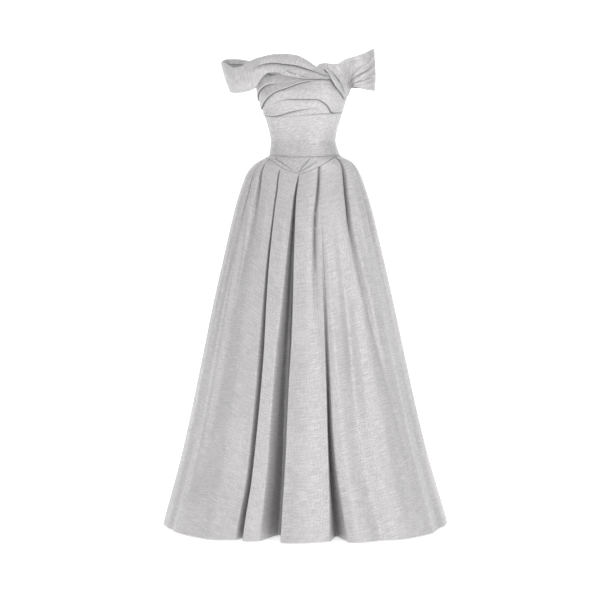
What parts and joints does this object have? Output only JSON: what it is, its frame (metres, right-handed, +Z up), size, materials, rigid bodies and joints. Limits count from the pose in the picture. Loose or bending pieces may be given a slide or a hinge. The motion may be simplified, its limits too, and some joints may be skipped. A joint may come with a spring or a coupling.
{
  "type": "off-shoulder ball gown",
  "caption": "Floor-length off-shoulder gown in worn form: twisted shoulder bands, draped fitted bodice, pointed basque yoke and a full pleated skirt.",
  "frame": {"origin": "centre of the narrowest part of the waist, where the wearer's body holds the dress", "axes": "+Z up from hem to neck, -Y the front, +X to the right as seen from the front"},
  "size_m": [0.892, 0.86, 1.4702],
  "materials": {
    "dress_cloth": "silver-grey metallic jacquard with a fine crinkled texture and a soft sheen",
    "zip_tape": "matt woven tape",
    "zip_metal": "polished"
  },
  "bodies": {
    "dress": {"bust_front": "dress_cloth", "midriff_front": "dress_cloth", "yoke_front": "dress_cloth", "back_left": "dress_cloth", "back_right": "dress_cloth", "band_left": "dress_cloth", "band_right": "dress_cloth", "twist_fold": "dress_cloth", "skirt_front": "dress_cloth", "skirt_back_left": "dress_cloth", "skirt_back_right": "dress_cloth", "zip_tape": "zip_tape", "zip_slider": "zip_metal"},
    "pull": {"zip_pull": "zip_metal"}
  },
  "joints": [
    {"name": "pull_hinge", "type": "hinge", "parent": "dress", "child": "pull", "pos_m": [0, 0.0984, 0.118], "axis": [1, 0, 0], "range_deg": [0, 150]}
  ]
}
